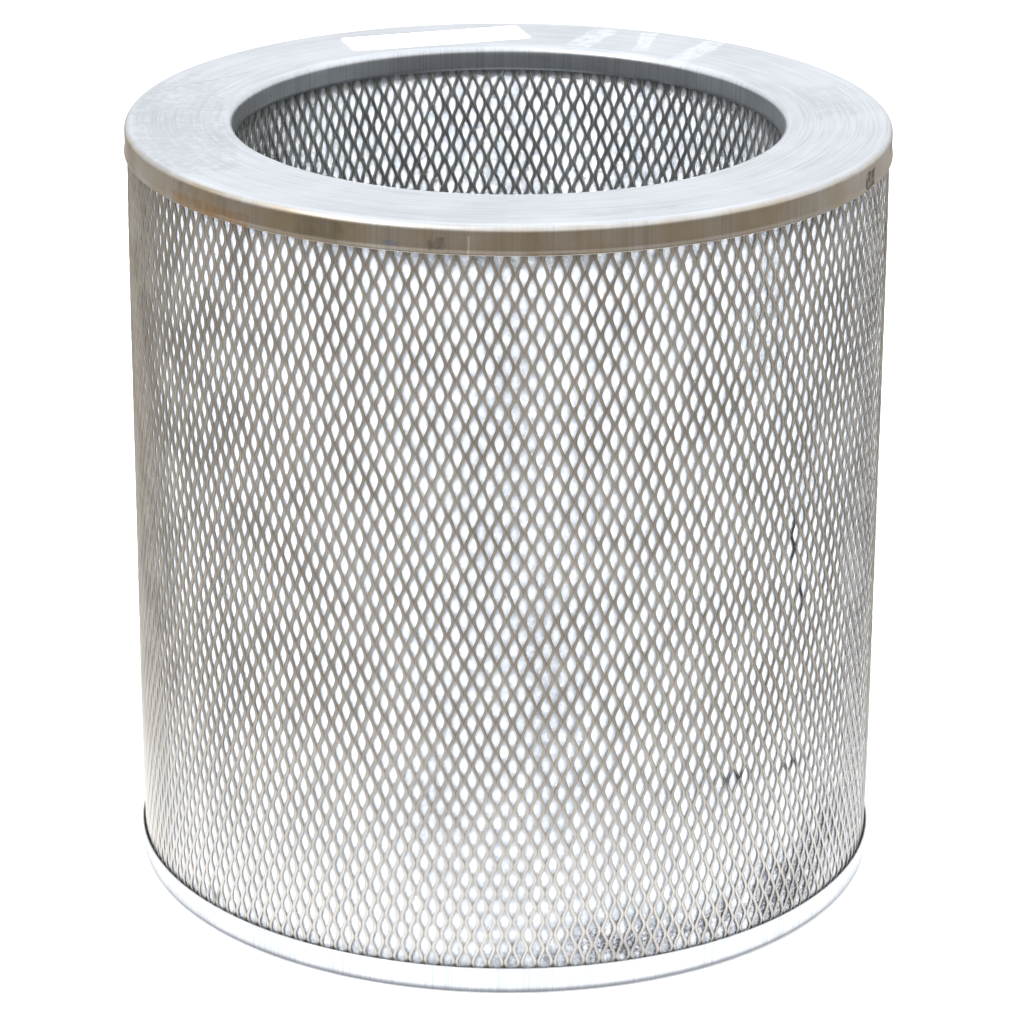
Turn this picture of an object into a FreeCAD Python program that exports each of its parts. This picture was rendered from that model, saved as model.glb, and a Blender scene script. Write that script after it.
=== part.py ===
import FreeCAD, Part
import math
import os

# Annular filter canister: a bed of granulated carbon between two expanded-metal cylinders,
# wrapped in fleece and closed by two pressed ring caps that open into the hollow core.
# Millimetres. Origin on the axis at the lower cap's outer face, +Z up the axis.

# ---- overall sizes -----------------------------------------------------------------------
overall_height = 390.6
skirt_outer_radius = 190.5        # outside of a cap's straight outer skirt
opening_radius = 137.1            # hole through a cap, inside its inner skirt

# ---- pressed end caps --------------------------------------------------------------------
cap_sheet = 0.8
outer_skirt_depth = 14.5
inner_skirt_depth = 12.6
shoulder_radius = 4.0             # outer skirt to flat face, on the outside
mouth_radius = 3.8                # flat face to inner skirt, on the outside
lip_height = 3.0                  # last stretch of the outer skirt, flared out
lip_flare = 0.5

# ---- rolled expanded-metal guards, as the tube that their strands stand in ---------------
guard_depth = 1.9                 # over the raised strands
outer_guard_bulge = 0.9           # the packed bed presses the outer guard out at mid-height
guard_to_skirt = 0.25             # guard slides into the cap's skirt
lap_width = 15.8                  # free end of the sheet overlaps its start
lap_depth = 1.4                   # nested strands of the second layer

# ---- fleece wraps ------------------------------------------------------------------------
fleece_thickness = 3.0
fleece_to_guard = 0.1
seam_tape_width = 25.0
seam_tape_thickness = 0.3
tape_to_fleece = 0.05
tape_from_lap = 30.0              # degrees round from the guard's lap

# ---- what closes the bed at its ends -----------------------------------------------------
top_pad_thickness = 6.0           # compressed felt that follows the bed as it settles
bottom_pad_thickness = 3.0
bed_clearance = 0.1               # between the bed or a pad and what stands round it

# ---- paper label on the upper cap --------------------------------------------------------
label_length = 98.0
label_width = 27.5
label_thickness = 0.12
label_corner_radius = 3.0
label_from_shoulder = 14.5        # label centre inwards from the shoulder's start
label_bearing = 104.2             # degrees round the axis from +X
label_skew = 3.6                  # degrees it is stuck off square

outer_seam_bearing = 90.0         # degrees round the axis: both seams face away from the front
inner_seam_bearing = 270.0

AXIS = FreeCAD.Vector(0, 0, 1)
ORIGIN = FreeCAD.Vector(0, 0, 0)


def at(radius, height):
    """A point of a half section: distance from the axis, and height."""
    return FreeCAD.Vector(radius, 0, height)


def line(start, end):
    return Part.LineSegment(start, end).toShape()


def arc(start, middle, end):
    return Part.Arc(start, middle, end).toShape()


def corner(centre_radius, centre_height, radius, from_degrees, to_degrees):
    """A round corner of a half section, from one direction to another about its centre."""
    def point(degrees):
        angle = math.radians(degrees)
        return at(centre_radius + radius * math.cos(angle), centre_height + radius * math.sin(angle))
    return arc(point(from_degrees), point((from_degrees + to_degrees) / 2), point(to_degrees))


def turned(edges):
    """The solid that a closed half section sweeps in one full turn."""
    wire = Part.Wire(Part.__sortEdges__(edges))
    return Part.Face(wire).revolve(ORIGIN, AXIS, 360)


def bow(height):
    """How far the packed bed pushes the outer wall out at a height: a shallow parabola."""
    half_span = overall_height / 2 - shoulder_radius
    share = (height - overall_height / 2) / half_span
    return outer_guard_bulge * (1 - share ** 2)


def wall(radius, low, high, bowed):
    """One side of a tube's half section: straight, or bowed out with the outer guard."""
    if not bowed:
        return line(at(radius, low), at(radius, high))
    middle = (low + high) / 2
    low_point = at(radius + bow(low), low)
    high_point = at(radius + bow(high), high)
    return arc(low_point, at(radius + bow(middle), middle), high_point)


def tube(inner_radius, outer_radius, low, high, inner_bowed=False, outer_bowed=False):
    """A ring or tube between two radii and two heights."""
    inside = wall(inner_radius, low, high, inner_bowed)
    outside = wall(outer_radius, low, high, outer_bowed)
    caps = [line(inside.Vertexes[end].Point, outside.Vertexes[end].Point) for end in (0, 1)]
    return turned([inside, outside] + caps)


def strip(whole, middle_radius, bearing, width):
    """What a window of the stated width, at a bearing, leaves of a tube."""
    degrees = math.degrees(width / middle_radius)
    box = whole.BoundBox
    window = Part.makeCylinder(box.XMax + 1, box.ZLength, at(0, box.ZMin), AXIS, degrees)
    window.rotate(ORIGIN, AXIS, bearing - degrees / 2)
    return whole.common(window)


def lip(radius, top):
    """The flared end of a skirt: two equal arcs that leave it and end parallel to it."""
    bend = (lip_height ** 2 + lip_flare ** 2) / (4 * lip_flare)
    sweep = math.degrees(math.asin(lip_height / 2 / bend))
    upper = corner(radius + bend, top, bend, 180, 180 + sweep)
    lower = corner(radius + lip_flare - bend, top - lip_height, bend, sweep, 0)
    return [upper, lower], at(radius + lip_flare, top - lip_height)


def upper_cap():
    """One sheet pressed to a ring channel: inner skirt, flat face, shoulder, skirt and lip."""
    top = overall_height
    under = top - cap_sheet
    inner_edge = top - inner_skirt_depth
    lip_top = top - outer_skirt_depth + lip_height
    skirt_inside = skirt_outer_radius - cap_sheet
    mouth_centre = opening_radius + mouth_radius
    shoulder_centre = skirt_outer_radius - shoulder_radius
    outer_lip, outer_end = lip(skirt_outer_radius, lip_top)
    inner_lip, inner_end = lip(skirt_inside, lip_top)
    outside = [
        line(at(opening_radius, inner_edge), at(opening_radius, top - mouth_radius)),
        corner(mouth_centre, top - mouth_radius, mouth_radius, 180, 90),
        line(at(mouth_centre, top), at(shoulder_centre, top)),
        corner(shoulder_centre, top - shoulder_radius, shoulder_radius, 90, 0),
        line(at(skirt_outer_radius, top - shoulder_radius), at(skirt_outer_radius, lip_top)),
    ]
    inside = [
        line(at(opening_radius + cap_sheet, inner_edge), at(opening_radius + cap_sheet, top - mouth_radius)),
        corner(mouth_centre, top - mouth_radius, mouth_radius - cap_sheet, 180, 90),
        line(at(mouth_centre, under), at(shoulder_centre, under)),
        corner(shoulder_centre, top - shoulder_radius, shoulder_radius - cap_sheet, 90, 0),
        line(at(skirt_inside, top - shoulder_radius), at(skirt_inside, lip_top)),
    ]
    ends = [
        line(at(opening_radius, inner_edge), at(opening_radius + cap_sheet, inner_edge)),
        line(outer_end, inner_end),
    ]
    return turned(outside + outer_lip + inside + inner_lip + ends)


def flipped(shape):
    """The same pressing turned over, for the other end of the canister."""
    copy = shape.copy()
    copy.rotate(at(0, overall_height / 2), FreeCAD.Vector(1, 0, 0), 180)
    return copy


# ---- levels and radii that the pieces share ----------------------------------------------
bed_floor = cap_sheet + bottom_pad_thickness
bed_top = overall_height - cap_sheet - top_pad_thickness

# guards and wraps end where a cap's corners start, and the sealant fills what is left
outer_low = shoulder_radius
outer_high = overall_height - shoulder_radius
inner_low = mouth_radius
inner_high = overall_height - mouth_radius

outer_guard_outside = skirt_outer_radius - cap_sheet - guard_to_skirt
outer_guard_inside = outer_guard_outside - guard_depth
outer_fleece_outside = outer_guard_inside - fleece_to_guard
outer_fleece_inside = outer_fleece_outside - fleece_thickness

inner_guard_inside = opening_radius + cap_sheet + guard_to_skirt
inner_guard_outside = inner_guard_inside + guard_depth
inner_fleece_inside = inner_guard_outside + fleece_to_guard
inner_fleece_outside = inner_fleece_inside + fleece_thickness

pieces = {}

# ---- the two end caps --------------------------------------------------------------------
pieces["top_end_cap"] = upper_cap()
pieces["bottom_end_cap"] = flipped(pieces["top_end_cap"])

# ---- guards: a full turn of the sheet, and the nested second layer of its lap ------------
outer_turn = tube(outer_guard_inside, outer_guard_outside, outer_low, outer_high, True, True)
second_layer = tube(outer_guard_inside - lap_depth, outer_guard_inside, outer_low, outer_high, True, True)
outer_lap = strip(second_layer, outer_guard_inside, outer_seam_bearing, lap_width)
pieces["outer_guard"] = outer_turn.fuse(outer_lap).removeSplitter()

inner_turn = tube(inner_guard_inside, inner_guard_outside, inner_low, inner_high)
second_layer = tube(inner_guard_outside, inner_guard_outside + lap_depth, inner_low, inner_high)
inner_lap = strip(second_layer, inner_guard_outside, inner_seam_bearing, lap_width)
pieces["inner_guard"] = inner_turn.fuse(inner_lap).removeSplitter()

# ---- fleece wraps, pressed thin where they pass the laps ---------------------------------
dent_width = lap_width + 4 * fleece_to_guard
dent_depth = lap_depth + fleece_to_guard
lap_room = tube(outer_guard_inside - dent_depth, outer_guard_inside, outer_low, outer_high, True, True)
outer_dent = strip(lap_room, outer_guard_inside, outer_seam_bearing, dent_width)
outer_wrap = tube(outer_fleece_inside, outer_fleece_outside, outer_low, outer_high, True, True)
pieces["outer_fleece"] = outer_wrap.cut(outer_dent)

lap_room = tube(inner_guard_outside, inner_guard_outside + dent_depth, inner_low, inner_high)
inner_dent = strip(lap_room, inner_guard_outside, inner_seam_bearing, dent_width)
inner_wrap = tube(inner_fleece_inside, inner_fleece_outside, inner_low, inner_high)
pieces["inner_fleece"] = inner_wrap.cut(inner_dent)

# ---- tapes that close the wraps, on the bed's side and clear of the guards' laps ---------
outer_tape_outside = outer_fleece_inside - tape_to_fleece
outer_tape_inside = outer_tape_outside - seam_tape_thickness
outer_tape = tube(outer_tape_inside, outer_tape_outside, bed_floor, bed_top, True, True)
outer_tape_bearing = outer_seam_bearing + tape_from_lap
pieces["outer_fleece_seam_tape"] = strip(outer_tape, outer_tape_outside, outer_tape_bearing, seam_tape_width)

inner_tape_inside = inner_fleece_outside + tape_to_fleece
inner_tape_outside = inner_tape_inside + seam_tape_thickness
inner_tape = tube(inner_tape_inside, inner_tape_outside, bed_floor, bed_top)
inner_tape_bearing = inner_seam_bearing + tape_from_lap
pieces["inner_fleece_seam_tape"] = strip(inner_tape, inner_tape_inside, inner_tape_bearing, seam_tape_width)

# ---- sealant beads fill the caps' corners past the ends of the guards and wraps ----------
def upper_bead(open_side, centre_radius, corner_radius, from_degrees, to_degrees):
    """The fill of one upper corner, from a wrap's open side round the corner to the skirt."""
    under = overall_height - cap_sheet
    level = overall_height - corner_radius
    inside_radius = corner_radius - cap_sheet
    skirt = centre_radius + inside_radius * math.cos(math.radians(to_degrees))
    edges = [
        line(at(open_side, under), at(centre_radius, under)),
        corner(centre_radius, level, inside_radius, from_degrees, to_degrees),
        line(at(skirt, level), at(open_side, level)),
        line(at(open_side, level), at(open_side, under)),
    ]
    return turned(edges)


pieces["top_outer_sealant"] = upper_bead(outer_fleece_inside, skirt_outer_radius - shoulder_radius,
                                         shoulder_radius, 90, 0)
pieces["top_inner_sealant"] = upper_bead(inner_fleece_outside, opening_radius + mouth_radius,
                                         mouth_radius, 90, 180)
pieces["bottom_outer_sealant"] = flipped(pieces["top_outer_sealant"])
pieces["bottom_inner_sealant"] = flipped(pieces["top_inner_sealant"])

# ---- felt pads at the bed's ends ---------------------------------------------------------
pad_inside = inner_fleece_outside + bed_clearance
pad_outside = outer_fleece_inside - bed_clearance
pieces["top_felt_pad"] = tube(pad_inside, pad_outside, bed_top, overall_height - cap_sheet)
pieces["bottom_felt_pad"] = tube(pad_inside, pad_outside, cap_sheet, bed_floor)

# ---- the granulated bed fills what the wraps, their tapes and the pads leave -------------
bed_inside = inner_tape_outside + bed_clearance
bed_outside = outer_tape_inside - bed_clearance
pieces["carbon_bed"] = tube(bed_inside, bed_outside, bed_floor, bed_top, False, True)

# ---- paper label, square to the radius but for its skew ----------------------------------
label_centre_radius = skirt_outer_radius - shoulder_radius - label_from_shoulder - label_width / 2
label = Part.makeBox(label_length, label_width, label_thickness,
                     FreeCAD.Vector(-label_length / 2, -label_width / 2, overall_height))
upright_edges = [edge for edge in label.Edges if edge.BoundBox.ZLength > label_thickness / 2]
label = label.makeFillet(label_corner_radius, upright_edges)
label.rotate(ORIGIN, AXIS, label_skew)
label.translate(FreeCAD.Vector(0, label_centre_radius, 0))
label.rotate(ORIGIN, AXIS, label_bearing - 90)
pieces["paper_label"] = label

os.makedirs("parts", exist_ok=True)
for name, shape in pieces.items():
    shape.exportStep("parts/" + name + ".step")
    print(name, "valid" if shape.isValid() else "INVALID", "solids", len(shape.Solids),
          "volume", round(shape.Volume / 1000, 2), "cm3")
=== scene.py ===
# %% [markdown]
# # A filter canister in expanded metal
# The object is a cylindrical filter canister: two guards of rolled expanded metal with white fleece and a
# bed of carbon between them, closed by two ring caps pressed from galvanised sheet.
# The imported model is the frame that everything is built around: it fixes every size and place. The thin
# sheet metal, the thousands of strands and the soft fleece are made here, because a lattice of slit strips
# is far easier to compute as arrays than to draw as solids.

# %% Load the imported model
import math

import bpy
import numpy as np
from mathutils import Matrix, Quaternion, Vector


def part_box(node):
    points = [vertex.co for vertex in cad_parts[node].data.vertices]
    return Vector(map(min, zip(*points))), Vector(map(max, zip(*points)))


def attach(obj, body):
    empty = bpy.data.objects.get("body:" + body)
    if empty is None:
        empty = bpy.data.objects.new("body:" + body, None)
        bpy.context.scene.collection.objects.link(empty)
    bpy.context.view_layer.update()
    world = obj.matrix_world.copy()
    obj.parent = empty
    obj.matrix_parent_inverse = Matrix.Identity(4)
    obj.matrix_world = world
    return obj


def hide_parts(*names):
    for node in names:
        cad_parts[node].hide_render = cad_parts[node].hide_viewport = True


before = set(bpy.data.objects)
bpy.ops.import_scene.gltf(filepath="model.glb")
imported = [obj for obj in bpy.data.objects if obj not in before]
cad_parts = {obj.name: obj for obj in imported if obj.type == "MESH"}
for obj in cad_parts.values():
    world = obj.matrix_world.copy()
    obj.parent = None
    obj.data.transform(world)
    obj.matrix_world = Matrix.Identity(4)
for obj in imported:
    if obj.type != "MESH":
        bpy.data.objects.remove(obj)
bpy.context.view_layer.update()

MM = 0.001

# %% [markdown]
# ## Sizes read from the frame
# A node's box gives its outer radius and its two ends, so no size of the canister is typed twice. Only
# what a box can't tell is a named value here: the opening, the sheet and the corner radii of a pressing.

# %% Sizes
top_low, top_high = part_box("top_end_cap")
guard_low, guard_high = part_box("outer_guard")
inner_low, inner_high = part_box("inner_guard")
fleece_low, fleece_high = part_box("outer_fleece")
lining_low, lining_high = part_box("inner_fleece")

height = top_high.z
lip_radius = top_high.x
skirt_depth = top_high.z - top_low.z
lip_flare, lip_height = 0.5 * MM, 3.0 * MM
skirt_radius = lip_radius - lip_flare
opening_radius = 137.1 * MM
inner_skirt_depth = 12.6 * MM
cap_sheet = 0.8 * MM
shoulder_radius, mouth_radius = 4.0 * MM, 3.8 * MM
guard_depth = 1.9 * MM
bulge = 0.9 * MM
print("lip radius", round(lip_radius / MM, 2), "skirt depth", round(skirt_depth / MM, 2))

# %% [markdown]
# ## Camera
# A long lens from about two metres away, looking a little down on the canister, shows the ring of the
# upper cap as a flat ellipse and hardly narrows the body towards the floor.

# %% Camera
CAMERA_DISTANCE = 1.9962
CAMERA_HEIGHT = 0.9340
CAMERA_PITCH = math.radians(20.701)
CAMERA_YAW = math.radians(0.082)
CAMERA_ROLL = math.radians(0.337)
LENS_MM, SENSOR_MM = 145.72, 36.0

camera_data = bpy.data.cameras.new("camera")
camera_data.lens, camera_data.sensor_width = LENS_MM, SENSOR_MM
camera = bpy.data.objects.new("camera", camera_data)
bpy.context.collection.objects.link(camera)
forward = Vector((math.sin(CAMERA_YAW) * math.cos(CAMERA_PITCH),
                  math.cos(CAMERA_YAW) * math.cos(CAMERA_PITCH), -math.sin(CAMERA_PITCH)))
camera.location = (0, -CAMERA_DISTANCE, CAMERA_HEIGHT)
camera.rotation_mode = "QUATERNION"
camera.rotation_quaternion = forward.to_track_quat("-Z", "Y")
camera.rotation_quaternion.rotate(Quaternion(forward, -CAMERA_ROLL))
bpy.context.scene.camera = camera
print("camera", [round(x, 3) for x in camera.location])

# %% [markdown]
# ## Putting arrays into a mesh
# Every new piece is a set of points and faces computed by numpy. One helper hands them to Blender in a
# single call, gives the object its material, and lets it ride on the canister's only body.

# %% Helper for pieces
def add_piece(name, points, quads, material, stands_for, smooth=True, attributes=None):
    """A mesh object from an (n, 3) array of points and an (m, 4) array of corner numbers."""
    mesh = bpy.data.meshes.new(name)
    count = len(quads)
    mesh.vertices.add(len(points))
    mesh.vertices.foreach_set("co", np.asarray(points, np.float32).ravel())
    mesh.loops.add(count * 4)
    mesh.loops.foreach_set("vertex_index", np.asarray(quads, np.int32).ravel())
    mesh.polygons.add(count)
    mesh.polygons.foreach_set("loop_start", np.arange(0, count * 4, 4, dtype=np.int32))
    mesh.polygons.foreach_set("use_smooth", np.full(count, smooth, bool))
    mesh.update(calc_edges=True)
    for label, values in (attributes or {}).items():
        layer = mesh.attributes.new(label, "FLOAT", "POINT")
        layer.data.foreach_set("value", np.asarray(values, np.float32).ravel())
    mesh.materials.append(material)
    piece = bpy.data.objects.new(name, mesh)
    bpy.context.collection.objects.link(piece)
    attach(piece, "root")
    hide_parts(stands_for)
    print(name, "faces", count)
    return piece


def loop_quads(rows, columns):
    """Quads over a grid that closes on itself both ways: corner (i, j) to its next row and column."""
    i, j = np.meshgrid(np.arange(rows), np.arange(columns), indexing="ij")
    next_i, next_j = (i + 1) % rows, (j + 1) % columns
    corners = [i * columns + j, i * columns + next_j, next_i * columns + next_j, next_i * columns + j]
    return np.stack(corners, -1).reshape(-1, 4)


def around(radius, angle, level):
    """Points from cylinder coordinates: x = r sin(angle), y = -r cos(angle), so angle 0 faces the front."""
    return np.stack([radius * np.sin(angle), -radius * np.cos(angle), level + 0 * angle], -1)

# %% [markdown]
# ## A helper for shader nodes
# A material is a short list of nodes. One function adds any node, sets its options and fills its inputs,
# either with a plain value or with another node's output. Colours are written as sRGB hex, as on a paint
# card, and turned to the linear values that a shader works in.

# %% Helper for materials
def colour(code):
    """Linear RGBA of an sRGB hex code: ((c + 0.055) / 1.055) to the power 2.4 above the toe."""
    values = [int(code[k:k + 2], 16) / 255 for k in (1, 3, 5)]
    return [c / 12.92 if c < 0.04045 else ((c + 0.055) / 1.055) ** 2.4 for c in values] + [1.0]


def add(tree, kind, inputs=None, **options):
    """A new node with its options set and its inputs filled by values or by other nodes' outputs."""
    node = tree.nodes.new(kind)
    for name, value in options.items():
        setattr(node, name, value)
    for name, value in (inputs or {}).items():
        if isinstance(value, bpy.types.NodeSocket):
            tree.links.new(value, node.inputs[name])
        else:
            node.inputs[name].default_value = value
    return node


def new_material(name, **uniform):
    """A material with one Principled shader, whose uniform values are set on its own sockets."""
    material = bpy.data.materials.new(name)
    material.use_nodes = True
    tree = material.node_tree
    shader = tree.nodes["Principled BSDF"]
    for socket, value in uniform.items():
        shader.inputs[socket.replace("_", " ")].default_value = value
    return material, tree, shader


def math_node(tree, operation, *values, clamp=False):
    """The output of one Math node."""
    numbered = dict(enumerate(values))
    return add(tree, "ShaderNodeMath", numbered, operation=operation, use_clamp=clamp).outputs[0]


def mixed(tree, share, first, second):
    """A colour between two colours, by a share from 0 to 1."""
    node = add(tree, "ShaderNodeMix", {0: share, 6: first, 7: second}, data_type="RGBA")
    return node.outputs[2]


def stretched(tree, value, low, high, to_low=0.0, to_high=1.0):
    """Map a range of values to another, clamped at both ends, with a smooth step between."""
    node = add(tree, "ShaderNodeMapRange", {"Value": value, "From Min": low, "From Max": high,
               "To Min": to_low, "To Max": to_high}, interpolation_type="SMOOTHSTEP")
    return node.outputs[0]


def noise(tree, vector, size_mm, detail=3.0, roughness=0.55):
    """Noise whose largest blobs are about size_mm across."""
    node = add(tree, "ShaderNodeTexNoise", {"Vector": vector, "Scale": 1 / (size_mm * MM),
               "Detail": detail, "Roughness": roughness})
    return node.outputs[0]


def product(tree, *values):
    """The product of two or more values."""
    total = values[0]
    for value in values[1:]:
        total = math_node(tree, "MULTIPLY", total, value)
    return total


def turned_coordinates(tree, position, radial_mm, along_mm):
    """(r, angle arc, z) scaled so that a pattern on it is long round the axis, short across; and r itself."""
    x, y, z = add(tree, "ShaderNodeSeparateXYZ", {0: position}).outputs
    radius = math_node(tree, "SQRT", math_node(tree, "ADD", product(tree, x, x), product(tree, y, y)))
    angle = math_node(tree, "ARCTAN2", x, y)
    arc = product(tree, angle, skirt_radius / (along_mm * MM))
    across = product(tree, radius, 1 / (radial_mm * MM))
    return add(tree, "ShaderNodeCombineXYZ", {0: across, 1: arc, 2: z}).outputs[0], radius


# %% [markdown]
# ## Galvanised sheet, pressed
# The caps are mild steel sheet dipped in zinc and deep drawn. Zinc gives a cool, satin metal with faint
# crystal flowers; years of handling and wiping round the ring leave fine circular rub marks, and the draw
# leaves upright streaks on the skirts. Rub marks change the roughness more than the colour, so they show
# as broad soft streaks in what the sheet reflects. The upper cap's outer skirt also turns brown: partly a
# thin film that has dried in streaks, partly a painted reflection of the brown room, which the lower cap,
# facing the white floor, doesn't get. The upper cap has a few worn patches: old glue, stains, scratches, ink.
# Each patch is an oblong in its own turned coordinates, with an edge broken up by noise.

# %% Material: galvanised sheet
RAGGEDNESS = 0.9                                # how far noise pushes a patch's edge, in half widths
CRYSTAL = 9 * MM
BROWN_FROM, BROWN_WHOLE = 165 * MM, 175 * MM      # radius where the brown film and the painted reflection of the brown room on the skirt start


def worn_patch(tree, position, place, turn, size):
    """Share of a ragged oblong patch: its centre and size (long, wide, high) in mm, its turn in degrees."""
    centre = tuple(value * MM for value in place)
    reach = tuple(value * MM / 2 for value in size)
    local = add(tree, "ShaderNodeMapping", {"Vector": position, "Location": centre, "Scale": reach,
                "Rotation": (0, 0, math.radians(turn))}, vector_type="TEXTURE").outputs[0]
    split = add(tree, "ShaderNodeSeparateXYZ", {0: local}).outputs
    along, across, upwards = [math_node(tree, "ABSOLUTE", part) for part in split]
    furthest = math_node(tree, "MAXIMUM", math_node(tree, "MAXIMUM", along, across), upwards)
    ragged = product(tree, math_node(tree, "SUBTRACT", noise(tree, position, 9), 0.5), RAGGEDNESS)
    edge = stretched(tree, math_node(tree, "ADD", furthest, ragged), 1.0, 0.8)
    return product(tree, edge, stretched(tree, noise(tree, position, 4), 0.25, 0.6))


def galvanised_sheet(name, stain_and_reflection_share, marks=()):
    """Zinc on steel; the second argument is the share of brown film and painted room reflection on the outer
    skirt; a mark is a patch's place, turn, size, share, tone and added roughness."""
    material, tree, shader = new_material(name, Metallic=1.0)
    position = add(tree, "ShaderNodeTexCoord").outputs["Object"]
    rubbed, radius = turned_coordinates(tree, position, radial_mm=0.9, along_mm=55)
    rub = add(tree, "ShaderNodeTexNoise", {"Vector": rubbed, "Scale": 1.0, "Detail": 4.0,
              "Roughness": 0.6}).outputs[0]
    drawn, _ = turned_coordinates(tree, position, radial_mm=400, along_mm=0.8)
    draw = add(tree, "ShaderNodeTexNoise", {"Vector": drawn, "Scale": 1.0, "Detail": 2.0}).outputs[0]
    flowers = add(tree, "ShaderNodeTexVoronoi", {"Vector": position, "Scale": 1 / CRYSTAL}).outputs["Color"]
    flower = add(tree, "ShaderNodeSeparateColor", {0: flowers}).outputs[0]
    handling = noise(tree, position, 45, detail=4)
    normal = add(tree, "ShaderNodeNewGeometry").outputs["Normal"]
    upright = add(tree, "ShaderNodeSeparateXYZ", {0: normal}).outputs[2]
    flat = stretched(tree, math_node(tree, "ABSOLUTE", upright), 0.5, 0.95)
    streak = mixed(tree, flat, draw, rub)
    tone = mixed(tree, stretched(tree, handling, 0.3, 0.7), colour("#c9cdd2"), colour("#bcc0c4"))
    tone = mixed(tree, product(tree, stretched(tree, streak, 0.35, 0.7), 0.4), tone, colour("#e3e5e8"))
    tone = mixed(tree, product(tree, stretched(tree, streak, 0.5, 0.3), 0.35), tone, colour("#a6aaae"))
    tone = mixed(tree, product(tree, flower, 0.10), tone, colour("#aeb3b8"))
    rough = math_node(tree, "ADD", 0.22, product(tree, streak, 0.12))
    rough = math_node(tree, "ADD", rough, product(tree, handling, 0.08))
    # painted reflection of the brown room, mixed with a real brown film dried in streaks: the upright faces
    # of the outer skirt turn brown
    outside = stretched(tree, radius, BROWN_FROM, BROWN_WHOLE)
    side = product(tree, math_node(tree, "SUBTRACT", 1.0, flat), outside, stain_and_reflection_share)
    film_and_reflection = stretched(tree, noise(tree, position, 38, detail=5), 0.35, 0.65, 0.35, 0.9)
    tone = mixed(tree, product(tree, film_and_reflection, side), tone, colour("#b9ab94"))
    dried = stretched(tree, noise(tree, rubbed, 1000, detail=5, roughness=0.7), 0.52, 0.66)
    tone = mixed(tree, product(tree, dried, film_and_reflection, side, 0.65), tone, colour("#77705f"))
    for place, turn, size, share, code, dulling in marks:
        mark = worn_patch(tree, position, place, turn, size)
        tone = mixed(tree, product(tree, mark, share), tone, colour(code))
        rough = math_node(tree, "ADD", rough, product(tree, mark, dulling))
    relief = math_node(tree, "ADD", product(tree, streak, 0.5), handling)
    bump = add(tree, "ShaderNodeBump", {"Height": relief, "Strength": 0.12, "Distance": 0.2 * MM})
    tree.links.new(tone, shader.inputs["Base Color"])
    tree.links.new(rough, shader.inputs["Roughness"])
    tree.links.new(bump.outputs[0], shader.inputs["Normal"])
    return material


# %% [markdown]
# ## Galvanised expanded metal
# The guards are slit and pulled from the same zinc-coated sheet. The strands are too narrow to show
# crystal flowers, but the pull dulls them, and dust and soot settle on them. Soot is an attribute worked
# out with the mesh, so that it sits where the black granules have rubbed through. Towards the foot the
# strands are painted paler in patches, a painted reflection of the white floor.

# %% Material: expanded metal
WEATHERED_METAL = 0.88            # share of the surface that is still bright zinc; the rest is its dull bloom
PALE_FROM, PALE_WHOLE = 150 * MM, 20 * MM       # heights between which the painted reflection of the white floor makes the strands paler


def expanded_metal(name, zinc, dull):
    """Dull zinc strands; the attribute soot blackens them and takes their shine."""
    material, tree, shader = new_material(name)
    position = add(tree, "ShaderNodeTexCoord").outputs["Object"]
    soot = add(tree, "ShaderNodeAttribute", attribute_name="soot").outputs["Fac"]
    patch = noise(tree, position, 30, detail=4)
    grain = noise(tree, position, 1.2, detail=2)
    tone = mixed(tree, stretched(tree, patch, 0.35, 0.65), colour(zinc), colour(dull))
    tone = mixed(tree, product(tree, grain, 0.25), tone, colour("#77736c"))
    # painted reflection of the white floor: the strands are painted paler towards the foot, unevenly
    level = add(tree, "ShaderNodeSeparateXYZ", {0: position}).outputs[2]
    uneven = stretched(tree, patch, 0.2, 0.6, 0.25, 0.50)
    painted_floor_reflection = product(tree, stretched(tree, level, PALE_FROM, PALE_WHOLE), uneven)
    tone = mixed(tree, painted_floor_reflection, tone, colour("#dcdbd9"))
    black = math_node(tree, "MULTIPLY", soot, stretched(tree, grain, 0.15, 0.45), clamp=True)
    tree.links.new(mixed(tree, black, tone, colour("#1d1c1b")), shader.inputs["Base Color"])
    shine = product(tree, math_node(tree, "SUBTRACT", 1.0, black), WEATHERED_METAL)
    tree.links.new(shine, shader.inputs["Metallic"])
    rough = math_node(tree, "ADD", 0.38, product(tree, grain, 0.15))
    rough = math_node(tree, "ADD", rough, product(tree, black, 0.4))
    tree.links.new(rough, shader.inputs["Roughness"])
    bump = add(tree, "ShaderNodeBump", {"Height": grain, "Strength": 0.2, "Distance": 0.05 * MM})
    tree.links.new(bump.outputs[0], shader.inputs["Normal"])
    return material


# %% [markdown]
# ## Nonwoven fleece
# The wraps are needled polyester fleece: white fibres a few hundredths of a millimetre thick, lying every
# way. Single fibres are too fine to show, so the pattern draws them in strands about half a millimetre
# wide. Carbon dust works through from the bed and greys the fleece in clouds and specks.

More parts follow.
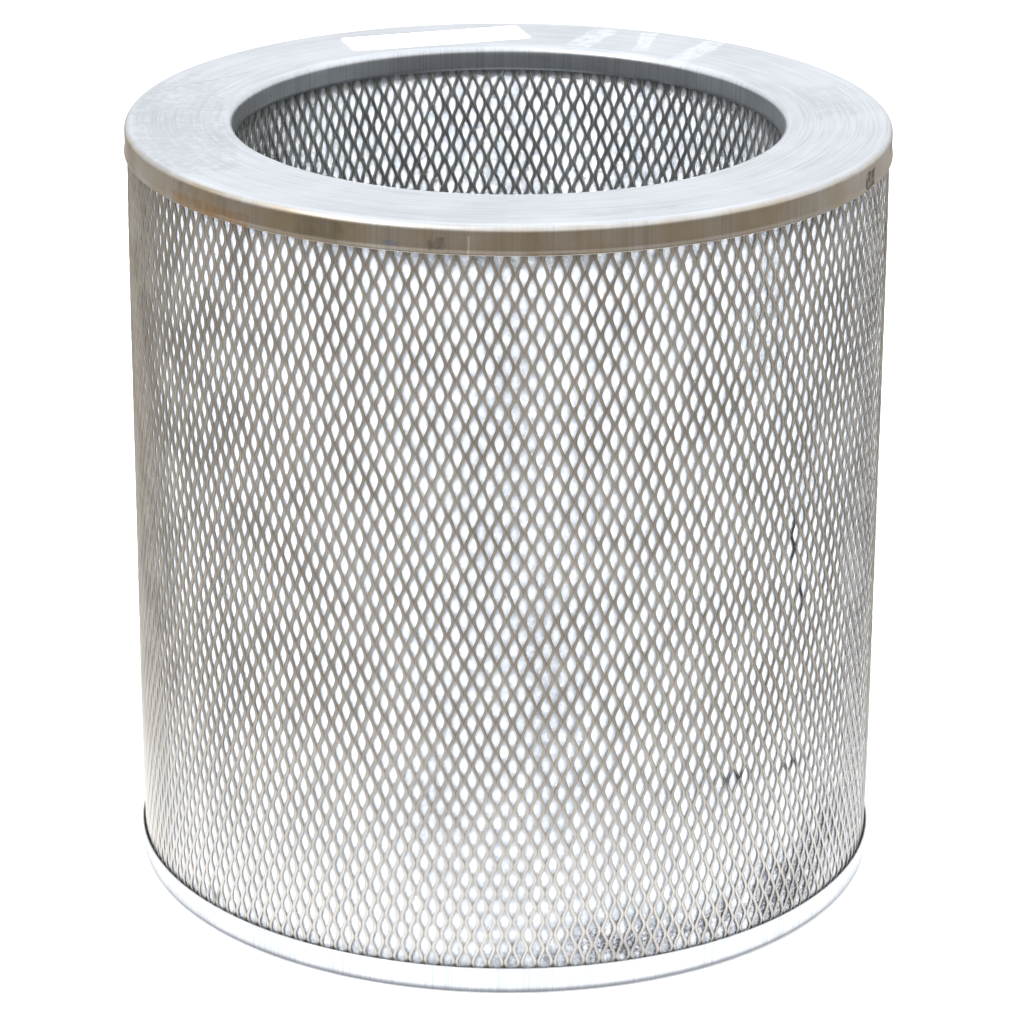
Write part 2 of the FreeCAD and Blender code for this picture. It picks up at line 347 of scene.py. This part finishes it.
# %% Material: fleece
def nonwoven_fleece(name):
    """Matted white fibres, greyed in clumps; the attribute soot darkens them in clouds and specks, and on the
    outer wrap also carries painted shade under the cap lips.
    """
    material, tree, shader = new_material(name, Roughness=1.0, Specular_IOR_Level=0.1)
    position = add(tree, "ShaderNodeTexCoord").outputs["Object"]
    soot = add(tree, "ShaderNodeAttribute", attribute_name="soot").outputs["Fac"]
    clumps = noise(tree, position, 7, detail=5, roughness=0.65)
    fibres = add(tree, "ShaderNodeTexNoise", {"Vector": position, "Scale": 1 / (0.9 * MM), "Detail": 3.0,
                 "Distortion": 2.5}).outputs[0]
    specks = noise(tree, position, 1.3, detail=2)
    tone = mixed(tree, stretched(tree, clumps, 0.35, 0.7), colour("#bcbfc4"), colour("#9fa5ad"))
    fibre_share = product(tree, stretched(tree, fibres, 0.42, 0.68), 0.6)
    tone = mixed(tree, fibre_share, tone, colour("#a9afb5"))
    cloud = math_node(tree, "MULTIPLY", soot, stretched(tree, clumps, 0.25, 0.62), clamp=True)
    speckled = product(tree, cloud, stretched(tree, specks, 0.3, 0.62, 0.35, 1.0))
    tree.links.new(mixed(tree, speckled, tone, colour("#45464a")), shader.inputs["Base Color"])
    relief = math_node(tree, "ADD", fibres, product(tree, clumps, 2.0))
    bump = add(tree, "ShaderNodeBump", {"Height": relief, "Strength": 0.5, "Distance": 0.4 * MM})
    tree.links.new(bump.outputs[0], shader.inputs["Normal"])
    return material


# %% [markdown]
# ## Plain materials of the hidden and small pieces
# Felt, granules, sealant, tape and paper are matt materials that differ in grain. Each takes a base tone, a
# second tone, the size of its grain in millimetres and how deep that grain stands.

# %% Material: matt grain
def matt_grain(name, tone, second, grain_mm, depth_mm, roughness):
    """Two tones in grains of one size, standing out by one depth."""
    material, tree, shader = new_material(name, Roughness=roughness)
    position = add(tree, "ShaderNodeTexCoord").outputs["Object"]
    grain = noise(tree, position, grain_mm, detail=4)
    tree.links.new(mixed(tree, stretched(tree, grain, 0.35, 0.65), colour(tone), colour(second)),
                   shader.inputs["Base Color"])
    bump = add(tree, "ShaderNodeBump", {"Height": grain, "Strength": 0.6, "Distance": depth_mm * MM})
    tree.links.new(bump.outputs[0], shader.inputs["Normal"])
    return material


def skirt_place(bearing, level):
    """A place on the upper cap's skirt: a bearing from the front in degrees and a height in millimetres."""
    turn = math.radians(bearing)
    return skirt_radius / MM * math.sin(turn), -skirt_radius / MM * math.cos(turn), level


CAP_MARKS = [  # place, turn, size in mm, share, tone, added roughness
    ((44, 156, 390), -115, (44, 15, 8), 0.5, "#eef1f4", 0.15),      # glue of old tape
    ((72, 147, 390), -100, (42, 9, 8), 0.5, "#eef1f4", 0.15),
    ((99, 129, 390), -118, (52, 13, 8), 0.5, "#eef1f4", 0.15),
    (skirt_place(-48, 378.5), -48, (68, 14, 8), 0.5, "#b5854a", 0.05),    # tea-coloured stain
    (skirt_place(-9.8, 381), -9.8, (8, 9, 7), 0.6, "#5f5c54", 0.08),     # dull spot
    (skirt_place(-5.4, 381), -5.4, (1.2, 9, 9), 0.6, "#f4f4ee", 0.0),   # scratch
    (skirt_place(66, 381), 66, (14, 9, 9), 0.85, "#3a3835", 0.1),       # dark stain
    (skirt_place(-16.5, 380), -16.5, (9, 9, 3), 0.6, "#6f7fa6", 0.1),   # ink
    (skirt_place(79.5, 384), 79.5, (8, 9, 5), 0.7, "#5a6c9c", 0.1),
    ((-162, -20, 390), 8, (52, 190, 8), 0.30, "#9a9fa4", 0.05),         # handled
    ((-150, 66, 390), 40, (46, 1.6, 8), 0.35, "#7b7f84", 0.0),          # scratches
    ((-146, 40, 390), 62, (34, 1.2, 8), 0.30, "#7b7f84", 0.0),
    ((160, 30, 390), 100, (70, 26, 8), 0.22, "#9a9fa4", 0.05),
    ((60, -165, 390), 20, (60, 5, 8), 0.20, "#8b8f94", 0.0),
]
# the upper cap's sheet paints a reflection of the brown room onto its outer skirt; the floor side sheet,
# which mirrors the white floor, has none
cap_zinc = galvanised_sheet("galvanised sheet, deep drawn", 1.0, CAP_MARKS)
floor_cap_zinc = galvanised_sheet("galvanised sheet, deep drawn, floor side", 0.0)
outer_mesh_zinc = expanded_metal("expanded metal, galvanised", "#a59f95", "#8b847a")
inner_mesh_zinc = expanded_metal("expanded metal, galvanised and dusty", "#999b98", "#7a7c79")
fleece_fibre = nonwoven_fleece("polyester fleece, needled")

# %% Finishes of the pieces that keep their solid from the frame
matt_finishes = {
    "carbon granules": (("carbon_bed",), "#161617", "#2a2a2c", 3.0, 1.5, 0.9),
    "wool felt, pressed": (("top_felt_pad", "bottom_felt_pad"), "#8f8c86", "#a7a49d", 1.5, 0.4, 1.0),
    "sealant, poured": (("top_outer_sealant", "top_inner_sealant", "bottom_outer_sealant",
                         "bottom_inner_sealant"), "#cfc6ae", "#bdb296", 12.0, 0.3, 0.5),
    "polypropylene tape": (("outer_fleece_seam_tape", "inner_fleece_seam_tape"), "#ecebe6", "#dcdad2",
                           6.0, 0.05, 0.4),
    "paper, coated": (("paper_label",), "#fbfbfa", "#f3f3f1", 2.0, 0.02, 0.55),
}
for title, (names, tone, second, grain_mm, depth_mm, roughness) in matt_finishes.items():
    finish = matt_grain(title, tone, second, grain_mm, depth_mm, roughness)
    for node_name in names:
        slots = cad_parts[node_name].material_slots
        for entry in slots:
            entry.material = finish
    print(title, "on", ", ".join(names))

# %% [markdown]
# ## End caps
# A cap is one pressing: up the inner skirt, round the mouth, across the flat ring, over the shoulder, down
# the outer skirt and out into a small flared lip, then back along the inside of the sheet. That closed line
# is carried once round the axis. The outer skirt wavers by a fraction of a millimetre, as thin sheet does
# after drawing, so that its reflections aren't dead straight.

# %% Section of a cap
def bend(centre, radius, start, end, steps):
    """Points on an arc about a centre of the section, from one direction in degrees to another."""
    turn = np.radians(np.linspace(start, end, steps))
    return np.stack([centre[0] + radius * np.cos(turn), centre[1] + radius * np.sin(turn)], -1)


def cap_side(mouth, skirt, mouth_bend, shoulder_bend, level):
    """One side of the sheet, from the inner skirt's edge to the lip: (radius, depth below the face)."""
    flat = np.linspace(mouth, skirt, 60)[:, None] * [1, 0] + [0, -level]
    lip_turn = np.linspace(0, np.pi, 9)
    lip_line = np.stack([skirt + shoulder_bend + lip_flare * (1 - np.cos(lip_turn)) / 2,
                         -skirt_depth + lip_height * (1 - lip_turn / np.pi)], -1)
    inner_line = np.linspace(-inner_skirt_depth, -mouth_radius, 6)[:-1, None] * [0, 1]
    inner_line = inner_line + [mouth - mouth_bend, 0]
    outer_line = np.linspace(-shoulder_radius, -skirt_depth + lip_height, 8)[1:-1, None] * [0, 1]
    outer_line = outer_line + [skirt + shoulder_bend, 0]
    return np.concatenate([
        inner_line,
        bend((mouth, -mouth_radius), mouth_bend, 180, 90, 10),
        flat[1:-1],
        bend((skirt, -shoulder_radius), shoulder_bend, 90, 0, 12),
        outer_line,
        lip_line,
    ])


def cap_section():
    """The closed section of the sheet: its outer side, then its inner side backwards."""
    mouth, skirt = opening_radius + mouth_radius, skirt_radius - shoulder_radius
    outer = cap_side(mouth, skirt, mouth_radius, shoulder_radius, 0)
    inner = cap_side(mouth, skirt, mouth_radius - cap_sheet, shoulder_radius - cap_sheet, cap_sheet)
    return np.concatenate([outer, inner[::-1]])


# %% Caps
CAP_STEPS = 540
SKIRT_WAVER = 0.12 * MM
WAVES_ROUND = (2, 3, 5, 9, 14)


def cap(name, node, face_level, facing, material, seed):
    """The section carried round the axis, with facing +1 for a cap whose flat ring looks up."""
    section = cap_section()
    angle = np.linspace(0, 2 * np.pi, CAP_STEPS, endpoint=False)
    chance = np.random.default_rng(seed)
    waver = sum(chance.uniform(0.3, 1) * np.sin(k * angle + chance.uniform(0, 2 * np.pi)) / k
                for k in WAVES_ROUND)
    waver = SKIRT_WAVER * (waver / np.abs(waver).max() - 1)
    depth = -section[:, 1] / skirt_depth
    outwards = np.clip((section[:, 0] - 0.95 * skirt_radius) / (0.05 * skirt_radius), 0, 1) * depth
    radius = section[:, 0][None, :] + waver[:, None] * outwards[None, :]
    level = face_level + facing * section[:, 1][None, :] + 0 * radius
    points = around(radius, angle[:, None] + 0 * radius, level).reshape(-1, 3)
    quads = loop_quads(CAP_STEPS, len(section))
    if facing < 0:
        quads = quads[:, ::-1]
    return add_piece(name, points, quads, material, node)


cap("top_cap_pressing", "top_end_cap", height, 1, cap_zinc, seed=3)
cap("bottom_cap_pressing", "bottom_end_cap", 0.0, -1, floor_cap_zinc, seed=4)

# %% [markdown]
# ## Expanded metal
# A press slits flat sheet in staggered rows and pulls it open sideways. Each strip between two rows of
# slits becomes one strand that zigzags all the way up the sheet: at one bond it lies left of its neighbour,
# at the next bond right of the other one. Pulling also tilts the strands, so the sheet feels like a grater.
# It could be made as an array of diamonds, but a strand is simpler: its cross-section, a tilted
# parallelogram, slides left and right with height. All the strands of a guard are one numpy array.

# %% Lattice of a guard
LONG_WAY = 14.91 * MM             # bond to bond, up the sheet
BOND_LENGTH = 1.4 * MM
STRAND_WIDTH = 1.62 * MM
STRAND_THICKNESS = 0.50 * MM
STRAND_TILT = math.radians(7)
BENT_SHARE = 0.38                 # place at a third of the way between bonds, which rounds the openings
BOND_LEVEL = 202.9 * MM           # height of one row of bonds
middle = (guard_low.z + guard_high.z) / 2
half_span = (guard_high.z - guard_low.z) / 2


def bow(level):
    """The bed's push on the outer guard: bulge x (1 - share of the half height, to the power 6)."""
    return bulge * (1 - ((level - middle) / half_span) ** 6)


def zigzag(low, high):
    """Heights of a strand's corners and its place there, from -1 to +1: level along a bond, then across."""
    half = LONG_WAY / 2
    first, last = math.floor((low - BOND_LEVEL) / half) - 1, math.ceil((high - BOND_LEVEL) / half) + 1
    rows = np.arange(first, last + 1)
    side = np.where(rows % 2 == 0, 1.0, -1.0)
    gap = half - BOND_LENGTH
    bond_end = BOND_LENGTH / 2
    steps = np.array([-bond_end, bond_end, bond_end + gap / 3, bond_end + 2 * gap / 3])
    shares = np.array([1.0, 1.0, BENT_SHARE, -BENT_SHARE])
    levels = (BOND_LEVEL + rows[:, None] * half + steps).ravel()
    places = (side[:, None] * shares).ravel()
    inside = (levels > low) & (levels < high)
    ends = np.interp([low, high], levels, places)
    return (np.concatenate([[low], levels[inside], [high]]),
            np.concatenate([[ends[0]], places[inside], [ends[1]]]))


def strands(numbers, columns, middle_radius, tilt, low, high, bowed, sink=0.0):
    """Points and quads of the numbered strands; two strands make one column of openings.

    A strand's centre is at angle (number + 1/2) x half a column. Its zigzag moves it across by
    (column / 2 - width x cos tilt) / 2 and out of the sheet by width / 2 x sin tilt. sink moves a second
    layer inwards, square to the tilted strands.
    """
    column = 2 * math.pi / columns
    short_way = column * middle_radius
    levels, places = zigzag(low, high)
    place = np.where(np.asarray(numbers)[:, None] % 2 == 0, places, -places)
    across = (short_way / 2 - STRAND_WIDTH * math.cos(tilt)) / 2 * place
    outwards = STRAND_WIDTH / 2 * math.sin(tilt) * place
    along_width = np.array([math.cos(tilt), -math.sin(tilt)]) * STRAND_WIDTH / 2
    along_sheet = np.array([math.sin(tilt), math.cos(tilt)]) * STRAND_THICKNESS / 2
    corners = [-along_width - along_sheet, along_width - along_sheet,
               along_width + along_sheet, -along_width + along_sheet]
    corners = np.array(corners) - sink * np.array([math.sin(tilt), math.cos(tilt)])
    centre = (np.asarray(numbers)[:, None, None] + 0.5) * column / 2
    level = np.broadcast_to(levels[None, :, None], (len(numbers), len(levels), 4))
    arc = across[..., None] + corners[None, None, :, 0]
    wave = 0.35 * MM * np.sin(centre * 7 + level * 31) + 0.25 * MM * np.sin(centre * 13 - level * 57)
    sway = 0.5 * MM * np.sin(centre * 5 + level * 9) + 0.2 * MM * np.sin(centre * 23 + level * 40)
    radius = middle_radius + outwards[..., None] + corners[None, None, :, 1]
    radius = radius + (bow(level) if bowed else 0)
    points = around(radius, centre + (arc + wave) / middle_radius, level)
    points[..., 2] += sway * np.clip(np.minimum(level - low, high - level) / (20 * MM), 0, 1)
    return points, levels


def strand_quads(count, rows):
    """Each strand is a closed bar: four long sides and two ends."""
    row, side = np.meshgrid(np.arange(rows - 1), np.arange(4), indexing="ij")
    following = (side + 1) % 4
    lower, upper = row * 4, (row + 1) * 4
    walls = np.stack([lower + side, lower + following, upper + following, upper + side], -1)
    ends = np.array([[3, 2, 1, 0], np.array([0, 1, 2, 3]) + (rows - 1) * 4])
    bar = np.concatenate([walls.reshape(-1, 4), ends])
    return (bar[None] + np.arange(count)[:, None, None] * rows * 4).reshape(-1, 4)


# %% [markdown]
# ## Soot
# Dust from the bed has rubbed through in a few places. Each smudge is a soft spot: a height, a bearing from
# the front, how far it spreads both ways, and how black it is. The same function serves the strands and the
# fleece, whose materials break its edges up with their own grain.

# %% Soot
STRAND_SMUDGES = [  # bearing in degrees, height, spread round, spread up (mm), strength
    (47, 214, 3, 15, 1.5), (49, 182, 3, 10, 1.5), (36, 100, 14, 5, 1.1), (48, 96, 16, 4, 1.0),
    (18, 22, 26, 9, 0.55), (50, 26, 26, 13, 0.6), (33, 20, 20, 7, 0.4),
    (37, 345, 12, 22, 0.5), (45, 290, 14, 22, 0.45), (50, 235, 14, 16, 0.4), (-36, 290, 10, 20, 0.35),
    (60, 120, 10, 22, 0.4), (57, 70, 3, 3, 1.0), (-50, 20, 6, 5, 0.8), (66, 60, 2, 2, 1.0),
    (165, 250, 16, 18, 0.6), (-150, 120, 20, 10, 0.6), (110, 60, 25, 8, 0.6), (-100, 200, 8, 14, 0.6),
]
FLEECE_CLOUDS = [
    (18, 24, 34, 13, 1.4), (48, 30, 34, 18, 1.7), (33, 24, 34, 12, 1.3), (57, 46, 26, 16, 1.2),
    (4, 19, 26, 8, 0.8), (65, 36, 14, 16, 0.8),
    (-55, 14, 8, 5, 0.8), (0, 300, 14, 90, 0.30), (6, 170, 16, 60, 0.35), (40, 330, 14, 45, 0.55),
    (50, 250, 14, 40, 0.40), (30, 96, 26, 10, 0.35), (-12, 90, 12, 30, 0.30), (-45, 250, 8, 110, 0.25),
    (120, 40, 60, 16, 0.8), (180, 200, 30, 90, 0.4), (-110, 60, 40, 20, 0.6), (-160, 330, 30, 30, 0.5),
]
LINING_CLOUDS = [(180, 300, 16, 120, 0.3), (150, 330, 20, 60, 0.15), (-115, 350, 20, 40, 0.8)]
print("smudges:", len(STRAND_SMUDGES), "clouds:", len(FLEECE_CLOUDS), "and", len(LINING_CLOUDS))


def soot_at(smudges, angle, level, radius):
    """The strongest of the soft spots: strength x exp(-(arc / spread) squared - (rise / spread) squared)."""
    found = np.zeros(np.broadcast(angle, level).shape)
    for bearing, spot_height, spread_round, spread_up, strength in smudges:
        turn = (angle - math.radians(bearing) + math.pi) % (2 * math.pi) - math.pi
        spot = strength * np.exp(-(turn * radius / (spread_round * MM)) ** 2
                                 - ((level - spot_height * MM) / (spread_up * MM)) ** 2)
        found = np.maximum(found, spot)
    return found


# %% Guards
OUTER_COLUMNS, INNER_COLUMNS = 151, 115
GUARD_TO_SKIRT = 0.25 * MM
LAP_STRANDS = 4


def guard(name, node, columns, middle_radius, tilt, low, high, bowed, sectors, lap_at, smudges, material):
    """A rolled guard in a few sectors of strands, and the nested second layer where its ends lap."""
    shares = np.array_split(np.arange(2 * columns), sectors)
    jobs = [(f"{name}_{k + 1}", numbers, 0.0) for k, numbers in enumerate(shares)]
    lap = np.arange(LAP_STRANDS) + round(lap_at / (math.pi / columns)) - LAP_STRANDS // 2
    jobs.append((f"{name}_lap", lap, STRAND_THICKNESS * 1.03 * (1 if bowed else -1)))
    for title, numbers, sink in jobs:
        points, levels = strands(numbers, columns, middle_radius, tilt, low, high, bowed, sink)
        angle = np.arctan2(points[..., 0], -points[..., 1])
        soot = soot_at(smudges, angle, points[..., 2], middle_radius)
        quads = strand_quads(len(numbers), len(levels))
        add_piece(title, points.reshape(-1, 3), quads, material, node, attributes={"soot": soot})


outer_radius = guard_high.x - bulge - guard_depth / 2
guard("outer_guard_strands", "outer_guard", OUTER_COLUMNS, outer_radius, STRAND_TILT,
      guard_low.z, guard_high.z, True, 4, math.pi, STRAND_SMUDGES, outer_mesh_zinc)
inner_radius = opening_radius + cap_sheet + GUARD_TO_SKIRT + guard_depth / 2
guard("inner_guard_strands", "inner_guard", INNER_COLUMNS, inner_radius, -STRAND_TILT,
      inner_low.z, inner_high.z, False, 3, 0.0, [], inner_mesh_zinc)

# %% [markdown]
# ## Fleece wraps
# Each wrap is a soft tube pressed against its guard. Its two sides are grids round the axis, joined at both
# ends. It sinks a little between high spots of the bed, by a sum of slow waves. The outer wrap's middle lies
# close behind the strands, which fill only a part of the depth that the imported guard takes.

# %% Fleece
FLEECE_STEPS_ROUND, FLEECE_STEPS_UP = 480, 150
FLEECE_THICKNESS = 3.0 * MM
SAG_WAVES = ((17, 40), (29, -95), (43, 21))     # waves round the axis, and radians up it per metre
DEEPEST_SAG = 0.35 * MM


def wrap(name, node, guard_side_radius, outer_wrap, low, high, clouds):
    """A closed tube whose guard side is at the stated radius and whose bed side is a thickness behind it."""
    angle = np.linspace(0, 2 * np.pi, FLEECE_STEPS_ROUND, endpoint=False)[None, :]
    level = np.linspace(low, high, FLEECE_STEPS_UP)[:, None]
    waves = sum(np.sin(turns_round * angle + per_metre * level) for turns_round, per_metre in SAG_WAVES)
    sag = DEEPEST_SAG * np.clip(0.5 + 0.5 * 0.35 * waves, 0, 1)
    towards_bed = -1 if outer_wrap else 1
    bowed = bow(level) if outer_wrap else 0 * level
    guard_side = guard_side_radius + bowed + towards_bed * sag
    bed_side = guard_side_radius + bowed + towards_bed * FLEECE_THICKNESS + 0 * sag
    outer, inner = (guard_side, bed_side) if outer_wrap else (bed_side, guard_side)
    radius = np.concatenate([outer, inner[::-1]])
    levels = np.concatenate([level, level[::-1]]) + 0 * radius
    turns = angle + 0 * radius
    points = around(radius, turns, levels).reshape(-1, 3)
    # painted shade under the cap lips, partly real dirt: the outer wrap darkens all round just below the
    # upper lip and just above the lower one
    below_lip = np.clip((height - skirt_depth - levels) / (5 * MM), 0, None)
    above_lip = np.clip((levels - skirt_depth) / (4 * MM), 0, None)
    rim_dirt_and_painted_shade = np.maximum(0.8 * np.exp(-below_lip ** 2), 0.5 * np.exp(-above_lip ** 2))
    soot = np.maximum(soot_at(clouds, turns, levels, guard_side_radius), rim_dirt_and_painted_shade if outer_wrap else 0)
    piece = add_piece(name, points, loop_quads(2 * FLEECE_STEPS_UP, FLEECE_STEPS_ROUND), fleece_fibre, node,
                      attributes={"soot": soot.ravel()})
    return piece


wrap("outer_fleece_wrap", "outer_fleece", guard_high.x - bulge - guard_depth + 0.25 * MM, True,
     fleece_low.z, fleece_high.z, FLEECE_CLOUDS)
wrap("inner_fleece_wrap", "inner_fleece", inner_radius + guard_depth / 2 + 0.1 * MM, False,
     lining_low.z, lining_high.z, LINING_CLOUDS)

# %% [markdown]
# ## Studio
# A pale floor runs out of view, the sky is even, and one large soft light stands high on the left. Five more
# soft lights fill the top, both sides, the foot and the core; mirrors don't see those. Polished metal shows
# its surroundings, so mirrors see another floor: white close round the canister, pale grey further out, and
# past half a metre the brown of a room; right under the canister it carries a painted shade of dark grey.
# That makes the upper skirt brown and the lower one white.

# %% Floor
def flat_sheet(name, radius, level, material):
    """A floor piece: one disc of 96 sides."""
    turn = np.linspace(0, 2 * np.pi, 96, endpoint=False)
    mesh = bpy.data.meshes.new(name)
    corners = [(radius * math.cos(t), radius * math.sin(t), level) for t in turn]
    mesh.from_pydata(corners, [], [list(range(len(corners)))])
    mesh.materials.append(material)
    sheet = bpy.data.objects.new(name, mesh)
    bpy.context.collection.objects.link(sheet)
    return sheet


floor_paint, _, _ = new_material("studio floor, matt white", Base_Color=colour("#fbfbfb"), Roughness=1.0,
                                 Specular_IOR_Level=0.0)
floor = flat_sheet("floor", 12.0, -0.00005, floor_paint)
floor.visible_glossy = False

mirrored_paint, room_tree, room_shader = new_material(
    "room as mirrored", Roughness=1.0, Specular_IOR_Level=0.0,
    Base_Color=colour("#000000"), Emission_Strength=2.0)
spot = add(room_tree, "ShaderNodeTexCoord").outputs["Object"]
reach = add(room_tree, "ShaderNodeVectorMath", {0: spot}, operation="LENGTH").outputs["Value"]
spot_north = add(room_tree, "ShaderNodeSeparateXYZ", {0: spot}).outputs[1]
frontness = math_node(room_tree, "DIVIDE", product(room_tree, spot_north, -1.0), reach)
room = product(room_tree, stretched(room_tree, reach, 0.48, 0.95),
               stretched(room_tree, frontness, -0.5, 0.5, 0.75, 1.0))
table_and_contact_shade = mixed(room_tree, stretched(room_tree, reach, 0.25, 0.50), colour("#ffffff"), colour("#d4d6da"))
# painted shade: the mirrored floor turns dark grey right under the canister, so the lower cap's shoulder
# mirrors a dark contact line
table_and_contact_shade = mixed(room_tree, stretched(room_tree, reach, 0.200, 0.188), table_and_contact_shade, colour("#84878b"))
room_tree.links.new(mixed(room_tree, room, table_and_contact_shade, colour("#6d6456")), room_shader.inputs["Emission Color"])
mirrored_floor = flat_sheet("floor_as_mirrored", 6.0, -0.0001, mirrored_paint)
mirrored_floor.visible_camera = False
mirrored_floor.visible_diffuse = False
mirrored_floor.visible_shadow = False
print("floor seen by the camera to 12 m, floor seen by mirrors to 6 m")

# %% Sky
SKY_STRENGTH = 3.2

world = bpy.data.worlds.new("studio")
bpy.context.scene.world = world
world.use_nodes = True
sky = world.node_tree
direction = add(sky, "ShaderNodeTexCoord").outputs["Generated"]
_, north, up = add(sky, "ShaderNodeSeparateXYZ", {0: direction}).outputs
climb = math_node(sky, "ADD", product(sky, up, 0.5), 0.5)
ramp_node = add(sky, "ShaderNodeValToRGB", {0: climb})
ramp = ramp_node.color_ramp
stops = [(0.50, "#9a9b9d"), (0.63, "#a3a4a6"), (0.75, "#afb0b2"), (0.92, "#babbbd")]
while len(ramp.elements) < len(stops):
    ramp.elements.new(0.5)
for element, (position, code) in zip(ramp.elements, stops):
    element.position, element.color = position, colour(code)
level_reach = math_node(sky, "SQRT", math_node(sky, "SUBTRACT", 1.0001, product(sky, up, up)))
towards_front = math_node(sky, "DIVIDE", product(sky, north, -1.0), level_reach)
dim_room = product(sky, stretched(sky, towards_front, -0.1, 0.55), stretched(sky, up, 0.40, 0.12))
dim_skirting = product(sky, stretched(sky, towards_front, -0.8, -0.2), stretched(sky, up, 0.16, 0.04))
dim_room = math_node(sky, "MAXIMUM", dim_room, dim_skirting)
tones = mixed(sky, dim_room, ramp_node.outputs[0], colour("#5f5951"))
background = sky.nodes["Background"]
sky.links.new(tones, background.inputs["Color"])
background.inputs["Strength"].default_value = SKY_STRENGTH
print("sky strength", SKY_STRENGTH)

# %% Lights
def soft_light(name, energy, size, place, target, spread=180):
    """A round soft box at a place, turned to a target, with its spread in degrees."""
    data = bpy.data.lights.new(name, "AREA")
    data.energy, data.size, data.shape, data.spread = energy, size, "DISK", math.radians(spread)
    light = bpy.data.objects.new(name, data)
    bpy.context.collection.objects.link(light)
    light.location = place
    light.rotation_mode = "QUATERNION"
    light.rotation_quaternion = (Vector(target) - Vector(place)).to_track_quat("-Z", "Y")
    return light


soft_light("key", 20.0, 2.2, (-1.6, -1.5, 2.2), (0, 0, 0.2))
top_light = soft_light("top_light", 26.0, 2.4, (0, -0.2, 2.8), (0, 0, 0))
top_light.visible_glossy = False
for name, energy, place, target in (("left_fill", 3.6, (-1.3, -0.9, 0.25), (-0.1, 0, 0.03)),
                                    ("right_fill", 3.6, (1.3, -0.9, 0.25), (0.1, 0, 0.03)),
                                    ("front_fill", 0.55, (0, -1.5, 0.25), (0, -0.19, -0.04))):
    soft_light(name, energy, 0.6, place, target, spread=60).visible_glossy = False
core_light = soft_light("core_light", 3.6, 0.3, (0, -0.45, 1.25), (0, 0.12, 0.30), spread=50)
core_light.visible_glossy = False
bpy.context.scene.view_settings.view_transform = "Standard"
print("lights:", sorted(lamp.name for lamp in bpy.data.lights))
